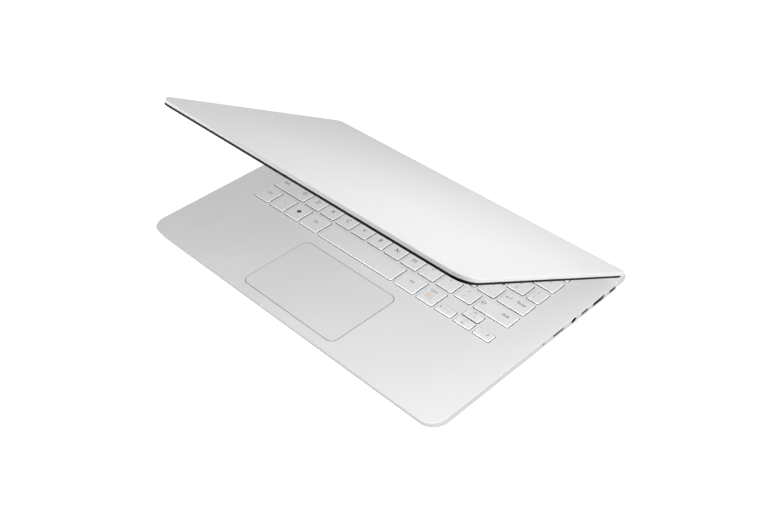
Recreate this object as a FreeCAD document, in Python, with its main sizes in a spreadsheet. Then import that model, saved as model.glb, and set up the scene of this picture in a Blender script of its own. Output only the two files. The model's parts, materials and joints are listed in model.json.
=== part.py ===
import FreeCAD, Part
import os
import re

from FreeCAD import Placement, Rotation, Vector

# Slim laptop computer with its lid part open.
# X runs to the right, Y to the hinge and Z up. The origin is on the desk under the middle of the case.
# Lid pieces are drawn flat, as on a closed lid, about the hinge line, and are turned open by their placement.

SIZES = {
    # Overall
    "width": 323.4,
    "depth": 215.0,
    "foot_height": 1.2,
    "base_thick": 8.4,
    "lid_thick": 4.5,
    "lid_gap": 1.5,
    "open_angle": 29.75,
    # Base shells
    "front_corner": 14.0,
    "edge_chamfer": 0.7,
    "side_inset": 1.5,
    "front_inset": 3.5,
    "wall": 1.5,
    "deck_thick": 1.2,
    "floor_thick": 1.0,
    "seam_height": 1.6,
    "notch_width": 33.0,
    "notch_radius": 8.0,
    "notch_out": 5.6,
    "notch_up": 3.4,
    "boss_radius": 2.5,
    "boss_inset": 12.0,
    # Hinge
    "barrel_radius": 4.3,
    "barrel_wall": 0.7,
    "barrel_gap": 0.5,
    "hinge_rise": 0.2,
    "knuckle_length": 30.0,
    "knuckle_gap": 0.4,
    "cap_end": 3.0,
    "lid_overhang": 3.6,
    "lid_relief": 0.4,
    "pin_radius": 1.5,
    "pin_clearance": 0.05,
    "pin_seat": 0.02,
    "pin_grip": 14.0,
    "pin_reach": 20.0,
    "arm_ring": 2.4,
    "arm_width": 12.0,
    "arm_length": 20.0,
    "arm_thick": 0.8,
    "arm_lift": 0.1,
    "bracket_ring": 2.8,
    "leaf_thick": 0.8,
    "leaf_length": 15.0,
    "leaf_width": 20.0,
    "leaf_start": 2.0,
    "leaf_slack": 0.3,
    # Lid
    "rear_corner": 5.0,
    "lid_edge": 0.9,
    "lid_wall": 1.0,
    "lid_skin": 0.9,
    "bezel_thick": 1.85,
    "bezel_inset": 0.3,
    "window_side": 6.9,
    "window_top": 9.0,
    "window_chin": 27.4,
    "window_corner": 0.5,
    "panel_lap": 2.5,
    "panel_thick": 0.9,
    "backlight_gap": 0.2,
    "gasket_inset": 3.0,
    "gasket_width": 2.0,
    "gasket_thick": 1.0,
    "gasket_rear": 4.0,
    "camera_width": 8.0,
    "camera_height": 3.2,
    "camera_gap": 0.3,
    "lens_radius": 1.2,
    "lens_hole": 1.5,
    "lens_recess": 0.3,
    "antenna_length": 40.0,
    "antenna_width": 3.0,
    "antenna_thick": 0.6,
    "antenna_place": 70.0,
    # Keyboard
    "keyboard_side": 29.7,
    "keyboard_shift": 2.0,
    "keyboard_rear": 18.25,
    "pitch_count": 13.9314,
    "key_gap": 2.95,
    "key_depth": 14.65,
    "bottom_key_depth": 18.2,
    "function_key_depth": 9.0,
    "function_count": 16,
    "half_key_gap": 1.25,
    "key_thick": 2.2,
    "key_proud": 1.0,
    "key_corner": 1.2,
    "key_edge": 0.7,
    "key_clearance": 0.55,
    "key_travel": 1.4,
    "control_pitches": 1.0317,
    "alt_pitches": 1.248,
    "arrow_pitches": 0.9815,
    "grave_pitches": 0.8153,
    "tab_pitches": 1.3166,
    "caps_pitches": 1.5937,
    "shift_pitches": 2.161,
    "plate_drop": 0.3,
    "plate_thick": 0.5,
    "plate_margin": 4.0,
    "post_radius": 1.5,
    "dome_radius": 2.5,
    "dome_top": 1.2,
    "dome_slack": 0.05,
    # Touchpad
    "pad_width": 102.8,
    "pad_front": 9.3,
    "pad_rear_gap": 11.3,
    "pad_shift": 2.1,
    "pad_thick": 1.1,
    "pad_recess": 0.1,
    "pad_corner": 6.0,
    "pad_clearance": 0.5,
    "pad_dip": 0.45,
    "bracket_lap": 6.0,
    "bracket_thick": 0.6,
    "rail_width": 4.0,
    "switch_size": 7.0,
    "switch_height": 0.5,
    "switch_inset": 6.0,
    "pivot_depth": 4.0,
    "pivot_width": 80.0,
    "pivot_slack": 0.05,
    # Boards and what is soldered on
    "board_gap": 0.5,
    "board_thick": 0.8,
    "board_edge": 15.4,
    "board_depth": 98.0,
    "board_rear_gap": 12.4,
    "board_fan_gap": 5.0,
    "side_board_width": 16.3,
    "side_board_depth": 81.0,
    "chip_width": 30.0,
    "chip_depth": 25.0,
    "chip_thick": 0.8,
    "chip_x": 20.0,
    "chip_rear_gap": 28.5,
    "memory_width": 67.6,
    "memory_depth": 30.0,
    "memory_thick": 1.4,
    "memory_x": -88.2,
    "memory_gap": 6.0,
    "drive_length": 80.0,
    "drive_width": 22.0,
    "drive_thick": 1.4,
    "drive_x": -68.0,
    "drive_gap": 8.0,
    "wireless_width": 22.0,
    "wireless_depth": 28.0,
    "wireless_thick": 1.2,
    "wireless_x": -64.0,
    "wireless_gap": 3.0,
    # Cooling
    "fan_size": 56.0,
    "fan_headroom": 0.5,
    "fan_wall": 0.6,
    "fan_side_gap": 7.0,
    "fan_lift": 0.1,
    "mouth_radius": 16.5,
    "axle_radius": 1.5,
    "rotor_radius": 23.0,
    "hub_radius": 10.0,
    "rotor_gap": 0.4,
    "blade_count": 19,
    "blade_thick": 0.7,
    "pipe_width": 8.0,
    "pipe_thick": 0.8,
    "pipe_corner": 5.0,
    "fin_depth": 8.0,
    "fin_rear_gap": 6.8,
    "fin_pitch": 2.0,
    "fin_thick": 0.5,
    "fin_count": 25,
    "cooling_gap": 0.1,
    # Battery and speakers
    "battery_side_gap": 14.8,
    "battery_front": 14.5,
    "battery_rear_gap": 12.6,
    "battery_headroom": 0.25,
    "battery_tray": 1.4,
    "cell_gap": 0.8,
    "cell_count": 4,
    "speaker_width": 14.0,
    "speaker_thick": 4.4,
    "speaker_front": 16.0,
    "speaker_rear_gap": 21.1,
    "speaker_side": 8.5,
    "cone_inset": 2.0,
    "cone_depth": 0.6,
    "seat_gap": 0.1,
    # Sockets
    "port_drop": 3.85,
    "port_clearance": 0.2,
    "port_recess": 0.5,
    "shell_thick": 0.3,
    "data_width": 13.1,
    "data_height": 4.9,
    "data_tongue": 1.8,
    "small_width": 7.6,
    "small_height": 2.8,
    "small_tongue": 0.7,
    "round_width": 9.0,
    "round_height": 3.2,
    "video_width": 14.6,
    "video_height": 4.9,
    "card_width": 12.0,
    "card_height": 2.0,
    "jack_radius": 2.55,
    "jack_bore": 1.8,
    "jack_depth": 13.0,
    "inlet_radius": 2.55,
    "inlet_bore": 2.1,
    "inlet_pin": 0.7,
    "inlet_depth": 9.0,
    "light_radius": 0.8,
    "lock_width": 7.0,
    "lock_height": 3.0,
    "data_right_place": 33.0,
    "small_place": 50.0,
    "jack_place": 63.0,
    "card_place": 81.0,
    "light_place": 98.0,
    "lock_place": 15.5,
    "inlet_place": 25.0,
    "video_place": 43.0,
    "data_left_place": 65.0,
    "round_place": 85.0,
    # Feet, vents and screws
    "foot_length": 60.0,
    "foot_width": 8.0,
    "foot_side": 100.0,
    "foot_front": 17.5,
    "foot_rear": 23.0,
    "vent_length": 40.0,
    "vent_width": 1.6,
    "vent_pitch": 4.0,
    "vent_count": 9,
    "grille_count": 9,
    "screw_in_gap": 6.5,
    "screw_out": 124.0,
    "screw_rear": 90.0,
    "screw_front_inset": 5.0,
    "screw_rear_inset": 3.5,
    "screw_radius": 1.0,
    "screw_length": 4.2,
    "screw_slack": 0.05,
    "head_radius": 2.0,
    "head_height": 0.5,
    "head_slack": 0.15,
    "head_seat": 0.4,
    "leaf_screw_length": 1.3,
}

# Places worked out from the sizes, as expressions over the names above
FRONT = "(-depth / 2)"
REAR = "(depth / 2)"
BOTTOM = "foot_height"
FLOOR = "(foot_height + floor_thick)"
SEAM = "(foot_height + seam_height)"
DECK = "(foot_height + base_thick)"
CEILING = f"({DECK} - deck_thick)"
AXIS_Y = "(depth / 2 - barrel_radius)"
AXIS_Z = f"({DECK} + hinge_rise)"
REAR_WALL = f"({AXIS_Y} - barrel_radius - barrel_gap)"
KNUCKLE = "(width / 2 - knuckle_length)"
BARREL_END = f"({KNUCKLE} - knuckle_gap)"
UNDERSIDE = "(lid_gap - hinge_rise)"
BEZEL_TOP = f"({UNDERSIDE} + bezel_thick)"
LID_TOP = f"({UNDERSIDE} + lid_thick)"
POCKET_TOP = f"({LID_TOP} - lid_skin)"
LID_FRONT = f"({FRONT} - {AXIS_Y})"
BEZEL_REAR = "(-barrel_radius - lid_relief)"
WINDOW_WIDTH = "(width - 2 * window_side)"
WINDOW_FRONT = f"({LID_FRONT} + window_top)"
WINDOW_HEIGHT = f"(-window_chin - {WINDOW_FRONT})"
CAMERA_Y = f"({LID_FRONT} + (window_top - panel_lap + lid_wall) / 2)"
KEY_TOP = f"({DECK} + key_proud)"
KEY_UNDER = f"({KEY_TOP} - key_thick)"
PLATE_TOP = f"({KEY_UNDER} - key_travel - plate_drop)"
PLATE_UNDER = f"({PLATE_TOP} - plate_thick)"
KEYBOARD_WIDTH = "(width - 2 * keyboard_side)"
KEYBOARD_LEFT = f"(keyboard_shift - {KEYBOARD_WIDTH} / 2)"
KEYBOARD_RIGHT = f"(keyboard_shift + {KEYBOARD_WIDTH} / 2)"
ROW_PITCH = "(key_depth + key_gap)"
FUNCTION_FRONT = f"({REAR_WALL} - keyboard_rear - function_key_depth)"
LETTER_FRONT = f"({FUNCTION_FRONT} - 4 * {ROW_PITCH})"
KEYBOARD_FRONT = f"({LETTER_FRONT} - key_gap - bottom_key_depth)"
KEY_PITCH = f"({KEYBOARD_WIDTH} / pitch_count)"
KEY_WIDTH = f"({KEY_PITCH} - key_gap)"
CONTROL_WIDTH = f"(control_pitches * {KEY_PITCH} - key_gap)"
ALT_WIDTH = f"(alt_pitches * {KEY_PITCH} - key_gap)"
ARROW_WIDTH = f"(arrow_pitches * {KEY_PITCH} - key_gap)"
GRAVE_WIDTH = f"(grave_pitches * {KEY_PITCH} - key_gap)"
TAB_WIDTH = f"(tab_pitches * {KEY_PITCH} - key_gap)"
CAPS_WIDTH = f"(caps_pitches * {KEY_PITCH} - key_gap)"
SHIFT_WIDTH = f"(shift_pitches * {KEY_PITCH} - key_gap)"
PAD_LEFT = "(pad_shift - pad_width / 2)"
PAD_FRONT = f"({FRONT} + pad_front)"
PAD_HEIGHT = f"({KEYBOARD_FRONT} - pad_rear_gap - {PAD_FRONT})"
PAD_UNDER = f"({DECK} - pad_recess - pad_thick)"
BRACKET_TOP = f"({PAD_UNDER} - pad_dip - switch_height - seat_gap)"
BRACKET_CORE = f"({BRACKET_TOP} - bracket_thick / 2)"
BOARD_UNDER = f"({PLATE_UNDER} - board_gap - board_thick)"
BOARD_EDGE = "(width / 2 - board_edge)"
BOARD_REAR = f"({REAR_WALL} - board_rear_gap)"
BOARD_FRONT = f"({BOARD_REAR} - board_depth)"
SIDE_BOARD_FRONT = f"({BOARD_REAR} - side_board_depth)"
PORT_Z = f"({DECK} - port_drop)"
SOCKET_DEPTH = "(board_edge - side_inset * port_drop / base_thick - port_recess)"
SOCKET_MOUTH = f"({BOARD_EDGE} + {SOCKET_DEPTH})"
WALL_HOLE_START = f"({BOARD_EDGE} + board_edge / 2)"
FIN_FRONT = f"({REAR_WALL} - wall - fin_rear_gap - fin_depth)"
FIN_LENGTH = "(fin_pitch * (fin_count - 1) + fin_thick)"
FAN_X = f"({BOARD_EDGE} - side_board_width - fan_side_gap - fan_size / 2)"
FAN_Y = f"({FIN_FRONT} - seat_gap - fan_size / 2)"
FAN_UNDER = f"({FLOOR} + fan_lift)"
FAN_HEIGHT = f"({PLATE_UNDER} - fan_headroom - {FAN_UNDER})"
FIN_LEFT = f"({FAN_X} - {FIN_LENGTH} / 2)"
ROTOR_UNDER = f"({FAN_UNDER} + fan_wall + rotor_gap)"
ROTOR_HEIGHT = f"({FAN_HEIGHT} - 2 * fan_wall - 2 * rotor_gap)"
BOARD_SPLIT = f"({FAN_X} - fan_size / 2 - board_fan_gap)"
CHIP_FRONT = f"({BOARD_REAR} - chip_rear_gap - chip_depth)"
DRIVE_FRONT = f"({BOARD_FRONT} + drive_gap)"
MEMORY_FRONT = f"({DRIVE_FRONT} + drive_width + memory_gap)"
WIRELESS_FRONT = f"({MEMORY_FRONT} + memory_depth + wireless_gap)"
INSIDE_SEAT = f"({FLOOR} + seat_gap)"
SPEAKER_INNER = "(width / 2 - speaker_side - speaker_width - side_inset)"
SPEAKER_FRONT = f"({FRONT} + speaker_front)"
SPEAKER_DEPTH = f"({KEYBOARD_FRONT} - speaker_rear_gap - {SPEAKER_FRONT})"
BATTERY_WIDTH = f"(2 * ({SPEAKER_INNER} - battery_side_gap))"
BATTERY_FRONT = f"({FRONT} + battery_front)"
BATTERY_DEPTH = f"({KEYBOARD_FRONT} - battery_rear_gap - {BATTERY_FRONT})"
BATTERY_THICK = f"({BRACKET_TOP} - bracket_thick - battery_headroom - {INSIDE_SEAT})"
LEAF_TOP = f"({AXIS_Z} - bracket_ring + leaf_thick)"
LEAF_SCREW_Y = f"({REAR_WALL} - wall - (leaf_length - 2 * barrel_radius) / 2)"

LEFT = -1
RIGHT = 1
SIDES = {"left": LEFT, "right": RIGHT}
ALONG_X = Rotation(Vector(0, 1, 0), 90)
UPRIGHT = Rotation()
WEDGE_UPRIGHT = Rotation(Vector(1, 0, 0), 90)
TOLERANCE = 0.001
# Share of a strip's width that rounds its ends, just short of a half circle
END_ROUNDING = 0.45
# Places of the two screws along a bracket's leaf, as shares of its width
LEAF_SHARES = (0.25, 0.75)
# Rows of the letter block that carry a post at each end, counted from the front
POST_ROWS = (0, 2, 4)
# Half-height keys of each arrow column, from the left: 0 is the near one and 1 the far one
ARROW_COLUMNS = ((0,), (0, 1), (0,))

doc = FreeCAD.newDocument("laptop")
sheet = doc.addObject("Spreadsheet::Sheet", "Sizes")
for row, (alias, value) in enumerate(SIZES.items(), start=1):
    sheet.set(f"A{row}", alias)
    sheet.set(f"B{row}", str(value))
    sheet.setAlias(f"B{row}", alias)
doc.recompute()

pieces = []


def sized(text):
    """An expression over the sheet, from words that are names of sizes."""
    return re.sub(r"[a-z]\w*", lambda word: f"Sizes.{word[0]}" if word[0] in SIZES else word[0], text)


def bind(item, **properties):
    """Ties properties of an object to expressions; a double underscore stands for a dot."""
    for name, text in properties.items():
        item.setExpression(name.replace("__", "."), sized(str(text)))
    return item


def place(item, at, rotation=UPRIGHT):
    """Puts an object's own origin at three expressions."""
    item.Placement = Placement(Vector(0, 0, 0), rotation)
    return bind(item, Placement__Base__x=at[0], Placement__Base__y=at[1], Placement__Base__z=at[2])


def box(label, at, spread):
    """A block from its low corner and its three sizes."""
    item = doc.addObject("Part::Box", label)
    bind(item, Length=spread[0], Width=spread[1], Height=spread[2])
    return place(item, at)


def cylinder(label, at, radius, length, rotation=UPRIGHT):
    """A round bar whose end is at a point, along Z or along X."""
    item = doc.addObject("Part::Cylinder", label)
    bind(item, Radius=radius, Height=length)
    return place(item, at, rotation)


def cone(label, at, low_radius, high_radius, height):
    """An upright cone frustum."""
    item = doc.addObject("Part::Cone", label)
    bind(item, Radius1=low_radius, Radius2=high_radius, Height=height)
    return place(item, at)


def cut(label, base, *tools):
    """The first shape with each of the others taken out in turn."""
    for count, tool in enumerate(tools, start=1):
        step = doc.addObject("Part::Cut", label if count == len(tools) else f"{label}_step_{count}")
        step.Base = base
        step.Tool = tool
        base = step
    return base


def fuse(label, *shapes):
    """Shapes joined into one solid."""
    item = doc.addObject("Part::MultiFuse", label)
    item.Shapes = list(shapes)
    item.Refine = True
    return item


def group(label, shapes):
    """Separate solids kept side by side in one object."""
    item = doc.addObject("Part::Compound", label)
    item.Links = list(shapes)
    return item


def rounded(label, base, choices):
    """Rounds edges: each choice is a test on an edge and a radius."""
    base.recompute(True)
    edges = []
    for number, edge in enumerate(base.Shape.Edges, start=1):
        for test, radius in choices:
            if test(edge):
                edges.append((number, radius, radius))
    item = doc.addObject("Part::Fillet", label)
    item.Base = base
    item.Edges = edges
    return item


def chamfered(label, base, test, reach):
    """Takes the sharp edge off every edge that passes a test."""
    base.recompute(True)
    numbered = enumerate(base.Shape.Edges, start=1)
    item = doc.addObject("Part::Chamfer", label)
    item.Base = base
    item.Edges = [(number, reach, reach) for number, edge in numbered if test(edge)]
    return item


def upright(edge):
    """True for an edge that rises, leaning or not."""
    return edge.BoundBox.ZLength > TOLERANCE


def top_of(item):
    """Height of an object's highest corner."""
    item.recompute()
    return max(corner.Z for corner in item.Shape.Vertexes)


def at_height(height):
    """A test for level edges at one height."""
    return lambda edge: not upright(edge) and abs(edge.BoundBox.ZMin - height) < TOLERANCE


def in_front_of(line):
    """A test for rising edges before a line across the case."""
    return lambda edge: upright(edge) and edge.BoundBox.YMax < line


def behind(line):
    """A test for rising edges behind a line across the case."""
    return lambda edge: upright(edge) and edge.BoundBox.YMin > line


def size(alias):
    """One number from the sheet."""
    return float(sheet.get(alias))


def count_of(alias):
    """One whole number from the sheet."""
    return round(size(alias))


def piece(label, shape):
    """Marks a finished sub-part: its label names its file."""
    shape.Label = label
    pieces.append(shape)
    return shape


def lid_piece(label, *shapes):
    """A finished lid sub-part, turned open about the hinge line."""
    item = group(label, shapes)
    item.Placement = Placement(Vector(0, 0, 0), Rotation(Vector(-1, 0, 0), size("open_angle")))
    bind(item, Placement__Base__y=AXIS_Y, Placement__Base__z=AXIS_Z, Placement__Rotation__Angle="open_angle")
    return piece(label, item)


def span(side, inner, outer):
    """Low end and length, along X, of something between two distances from the middle on one side."""
    low = inner if side == RIGHT else f"-({outer})"
    return low, f"({outer}) - ({inner})"


def tapered_block(label, inset, low, high, corner):
    """The case's outline, narrower towards the bottom, drawn in by an inset, with round front corners."""
    half_top = f"(width / 2 - {inset})"
    half_bottom = f"(width / 2 - side_inset - {inset})"
    block = doc.addObject("Part::Wedge", f"{label}_wedge")
    block.Placement = Placement(Vector(0, 0, 0), WEDGE_UPRIGHT)
    bind(block, Ymin=low, Ymax=high)
    bind(block, Xmin=f"-{half_bottom}", Xmax=half_bottom, X2min=f"-{half_top}", X2max=half_top)
    bind(block, Zmin=f"{inset} - {REAR_WALL}", Zmax=f"-{FRONT} - front_inset - {inset}")
    bind(block, Z2min=f"{inset} - {REAR_WALL}", Z2max=f"-{FRONT} - {inset}")
    return rounded(f"{label}_round", block, [(in_front_of(0), corner)])


# Keyboard layout
def letter_block():
    """Node, left side, front side, width and depth of the keys in the four rows that are one pitch apart."""
    rows = [
        ("left_shift_key", SHIFT_WIDTH, "lower_letter_keys", 10, "right_shift_key"),
        ("home_letter_keys", CAPS_WIDTH, "home_letter_keys", 11, "enter_key"),
        ("upper_letter_keys", TAB_WIDTH, "upper_letter_keys", 12, "upper_letter_keys"),
        ("number_keys", GRAVE_WIDTH, "number_keys", 12, "number_keys"),
    ]
    keys = []
    for number, (first_node, first_width, node, standard_keys, last_node) in enumerate(rows):
        front = f"{LETTER_FRONT} + {number} * {ROW_PITCH}"
        left = KEYBOARD_LEFT
        for key_node, width in [(first_node, first_width)] + [(node, KEY_WIDTH)] * standard_keys:
            keys.append((key_node, left, front, width, "key_depth"))
            left = f"{left} + {width} + key_gap"
        keys.append((last_node, left, front, f"({KEYBOARD_RIGHT} - ({left}))", "key_depth"))
    return keys


def bottom_row():
    """The row nearest to the user, with the space bar in it and half-height arrows at its end."""
    before_space = f"({CONTROL_WIDTH} + 2 * {KEY_WIDTH} + {ALT_WIDTH} + 4 * key_gap)"
    after_space = f"({ALT_WIDTH} + {CONTROL_WIDTH} + 3 * {ARROW_WIDTH} + 5 * key_gap)"
    entries = [
        ("bottom_row_keys", CONTROL_WIDTH),
        ("bottom_row_keys", KEY_WIDTH),
        ("bottom_row_keys", KEY_WIDTH),
        ("bottom_row_keys", ALT_WIDTH),
        ("space_bar", f"({KEYBOARD_WIDTH} - {before_space} - {after_space})"),
        ("bottom_row_keys", ALT_WIDTH),
        ("bottom_row_keys", CONTROL_WIDTH),
    ]
    keys = []
    left = KEYBOARD_LEFT
    for node, width in entries:
        keys.append((node, left, KEYBOARD_FRONT, width, "bottom_key_depth"))
        left = f"{left} + {width} + key_gap"
    half = "((bottom_key_depth - half_key_gap) / 2)"
    for column, halves in enumerate(ARROW_COLUMNS):
        side = f"{left} + {column} * ({ARROW_WIDTH} + key_gap)"
        for level in halves:
            front = f"{KEYBOARD_FRONT} + {level} * ({half} + half_key_gap)"
            keys.append(("arrow_keys", side, front, ARROW_WIDTH, half))
    return keys


def function_row():
    """The low row at the back, with the power key at its right end."""
    width = f"(({KEYBOARD_WIDTH} - (function_count - 1) * key_gap) / function_count)"
    last = count_of("function_count") - 1
    keys = []
    for number in range(last + 1):
        node = "power_key" if number == last else "function_keys"
        left = f"{KEYBOARD_LEFT} + {number} * ({width} + key_gap)"
        keys.append((node, left, FUNCTION_FRONT, width, "function_key_depth"))
    return keys


# Key caps, their openings and the rubber domes under them
def key_cap(number, left, front, width, depth):
    """One cap with round corners and a soft top edge."""
    blank = box(f"key_{number}_blank", (left, front, KEY_UNDER), (width, depth, "key_thick"))
    top = at_height(top_of(blank))
    return rounded(f"key_{number}", blank, [(upright, size("key_corner")), (top, size("key_edge"))])


def key_hole(number, left, front, width, depth):
    """The opening that one cap rises through."""
    blank = box(
        f"key_hole_{number}_blank",
        (f"{left} - key_clearance", f"{front} - key_clearance", f"{CEILING} - deck_thick"),
        (f"{width} + 2 * key_clearance", f"{depth} + 2 * key_clearance", "3 * deck_thick"),
    )
    return rounded(f"key_hole_{number}", blank, [(upright, size("key_corner") + size("key_clearance"))])


def key_dome(number, left, front, width, depth):
    """The rubber dome that lifts one cap."""
    middle = (f"{left} + {width} / 2", f"{front} + {depth} / 2", PLATE_TOP)
    height = f"{KEY_UNDER} - {PLATE_TOP} - dome_slack"
    return cone(f"dome_{number}", middle, "dome_radius", "dome_top", height)


def keyboard():
    """Every cap and dome; returns the openings that the deck needs."""
    caps = {}
    openings = []
    domes = []
    for number, (node, *spot) in enumerate(letter_block() + bottom_row() + function_row(), start=1):
        caps.setdefault(node, []).append(key_cap(number, *spot))
        openings.append(key_hole(number, *spot))
        domes.append(key_dome(number, *spot))
    for node, node_caps in caps.items():
        piece(node, group(node, node_caps))
    piece("key_domes", group("key_domes", domes))
    return openings


# Sockets in the side walls
def metal_socket(label, side, middle, width, height, tongue):
    """A sheet-metal socket, open to the side, with a contact tongue."""
    low, length = span(side, BOARD_EDGE, SOCKET_MOUTH)
    front = f"{REAR} - {middle} - {width} / 2"
    under = f"{PORT_Z} - {height} / 2"
    shell = box(f"{label}_shell", (low, front, under), (length, width, height))
    inner_low, inner_length = span(side, f"{BOARD_EDGE} + shell_thick", f"{SOCKET_MOUTH} + shell_thick")
    cavity = box(
        f"{label}_cavity",
        (inner_low, f"{front} + shell_thick", f"{under} + shell_thick"),
        (inner_length, f"{width} - 2 * shell_thick", f"{height} - 2 * shell_thick"),
    )
    tongue_low, tongue_length = span(side, BOARD_EDGE, f"{SOCKET_MOUTH} - 3 * shell_thick")
    blade = box(
        f"{label}_tongue",
        (tongue_low, f"{front} + 3 * shell_thick", f"{PORT_Z} - {tongue} / 2"),
        (tongue_length, f"{width} - 6 * shell_thick", tongue),
    )
    piece(label, fuse(label, cut(f"{label}_open", shell, cavity), blade))


def round_socket(label, side, middle, radius, bore, depth, pin=None):
    """A round socket with a blind bore and, where it has one, a centre pin."""
    low, length = span(side, BOARD_EDGE, SOCKET_MOUTH)
    centre = f"{REAR} - {middle}"
    body = cylinder(f"{label}_body", (low, centre, PORT_Z), radius, length, ALONG_X)
    bore_low, bore_length = span(side, f"{SOCKET_MOUTH} - {depth}", f"{SOCKET_MOUTH} + shell_thick")
    hollow = cylinder(f"{label}_bore", (bore_low, centre, PORT_Z), bore, bore_length, ALONG_X)
    opened = cut(f"{label}_open", body, hollow)
    if pin:
        pin_low, pin_length = span(side, BOARD_EDGE, f"{SOCKET_MOUTH} - 3 * shell_thick")
        core = cylinder(f"{label}_pin", (pin_low, centre, PORT_Z), pin, pin_length, ALONG_X)
        opened = fuse(label, opened, core)
    piece(label, opened)


def card_slot():
    """A flat socket with a slit for a memory card."""
    low, length = span(RIGHT, BOARD_EDGE, SOCKET_MOUTH)
    front = f"{REAR} - card_place - card_width / 2"
    under = f"{PORT_Z} - card_height / 2"
    body = box("card_body", (low, front, under), (length, "card_width", "card_height"))
    slit_low, slit_length = span(RIGHT, f"{BOARD_EDGE} + shell_thick", "width / 2")
    slit = box(
        "card_slit",
        (slit_low, f"{front} + shell_thick", f"{under} + shell_thick"),
        (slit_length, "card_width - 2 * shell_thick", "card_height - 2 * shell_thick"),
    )
    piece("card_slot", cut("card_slot", body, slit))


def status_light():
    """A small light pipe that shows in the right wall."""
    low, length = span(RIGHT, BOARD_EDGE, SOCKET_MOUTH)
    centre = (low, f"{REAR} - light_place", PORT_Z)
    piece("status_light", cylinder("status_light", centre, "light_radius", length, ALONG_X))


def wall_opening(label, side, middle, width, height):
    """A square hole through a side wall, a clearance larger than what it shows."""
    low, length = span(side, WALL_HOLE_START, "width / 2 + wall")
    front = f"{REAR} - {middle} - {width} / 2 - port_clearance"
    return box(
        f"{label}_hole",
        (low, front, f"{PORT_Z} - {height} / 2 - port_clearance"),
        (length, f"{width} + 2 * port_clearance", f"{height} + 2 * port_clearance"),
    )


def round_opening(label, side, middle, radius):
    """A round hole through a side wall."""
    low, length = span(side, WALL_HOLE_START, "width / 2 + wall")
    centre = (low, f"{REAR} - {middle}", PORT_Z)
    return cylinder(f"{label}_hole", centre, f"{radius} + port_clearance", length, ALONG_X)


def sockets():
    """Every socket; returns the openings that the side walls need."""
    metal = [
        ("right_data_socket", RIGHT, "data_right_place", "data_width", "data_height", "data_tongue"),
        ("small_data_socket", RIGHT, "small_place", "small_width", "small_height", "small_tongue"),
        ("left_data_socket", LEFT, "data_left_place", "data_width", "data_height", "data_tongue"),
        ("video_socket", LEFT, "video_place", "video_width", "video_height", "data_tongue"),
        ("round_data_socket", LEFT, "round_place", "round_width", "round_height", "small_tongue"),
    ]
    openings = []
    for label, side, middle, width, height, tongue in metal:
        metal_socket(label, side, middle, width, height, tongue)
        openings.append(wall_opening(label, side, middle, width, height))
    round_socket("headphone_socket", RIGHT, "jack_place", "jack_radius", "jack_bore", "jack_depth")
    round_socket("power_inlet", LEFT, "inlet_place", "inlet_radius", "inlet_bore", "inlet_depth", "inlet_pin")
    card_slot()
    status_light()
    openings += [
        round_opening("headphone", RIGHT, "jack_place", "jack_radius"),
        round_opening("inlet", LEFT, "inlet_place", "inlet_radius"),
        round_opening("light", RIGHT, "light_place", "light_radius"),
        wall_opening("card", RIGHT, "card_place", "card_width", "card_height"),
        wall_opening("lock", RIGHT, "lock_place", "lock_width", "lock_height"),
    ]
    return openings


# Places that several pieces share
def cover_screw_places():
    """Middle of each screw that holds the bottom cover."""
    front = f"{FRONT} + front_inset + wall + screw_front_inset"
    rear = f"{REAR_WALL} - wall - screw_rear_inset"
    beside_pad = "(pad_width / 2 + pad_shift + bracket_lap + screw_in_gap)"
    places = [(x, front) for x in ("-screw_out", f"-{beside_pad}", beside_pad, "screw_out")]
    return places + [(x, rear) for x in ("-screw_rear", "0", "screw_rear")]


def plate_post_places():
    """Middle of each post that the keyboard plate hangs on, beside the letter rows."""
    reach = f"({KEYBOARD_WIDTH} / 2 + key_clearance + post_radius)"
    return [
        (f"keyboard_shift + {side} * {reach}", f"{LETTER_FRONT} + {number} * {ROW_PITCH}")
        for side in SIDES.values()
        for number in POST_ROWS
    ]


def board_boss_places():
    """Middle of each boss that carries a board: near the corners, and one in the mainboard's middle."""
    left = f"(boss_inset - {BOARD_EDGE})"
    right = f"({BOARD_SPLIT} - boss_inset)"
    near = f"({BOARD_FRONT} + boss_inset)"
    far = f"({BOARD_REAR} - boss_inset)"
    beside = f"({BOARD_EDGE} - side_board_width / 2)"
    return [
        *[(x, y) for x in (left, right) for y in (near, far)],
        (f"({left} + {right}) / 2", f"({near} + {far}) / 2"),
        (beside, f"{SIDE_BOARD_FRONT} + boss_inset"),
        (beside, far),
    ]


def leaf_screw_places(side):
    """Middle of each screw in one bracket's leaf."""
    return [
        (f"{side} * ({KNUCKLE} + leaf_start + {share} * leaf_width)", LEAF_SCREW_Y)
        for share in LEAF_SHARES
    ]


def leaf_slot(side, owner):
    """The slit that a hinge bracket's leaf passes through, from inside the case to the hinge line."""
    start = f"{KNUCKLE} + leaf_start"
    low, length = span(side, f"{start} - leaf_slack", f"{start} + leaf_width + leaf_slack")
    return box(
        f"{owner}_leaf_slot_{side + 1}",
        (low, f"{REAR_WALL} - 2 * wall", f"{LEAF_TOP} - leaf_thick - leaf_slack"),
        (length, f"{AXIS_Y} - {REAR_WALL} + 2 * wall", "leaf_thick + 2 * leaf_slack"),
    )


def posts(label, places, low, high, radius):
    """Upright round bars between two heights."""
    return [
        cylinder(f"{label}_{number}", (x, y, low), radius, f"{high} - {low}")
        for number, (x, y) in enumerate(places)
    ]


# Base shells
def touchpad_opening():
    """The hole in the deck that the touchpad lies in."""
    blank = box(
        "pad_hole_blank",
        (f"{PAD_LEFT} - pad_clearance", f"{PAD_FRONT} - pad_clearance", f"{CEILING} - deck_thick"),
        ("pad_width + 2 * pad_clearance", f"{PAD_HEIGHT} + 2 * pad_clearance", "3 * deck_thick"),
    )
    return rounded("pad_hole", blank, [(upright, size("pad_corner") + size("pad_clearance"))])


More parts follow.
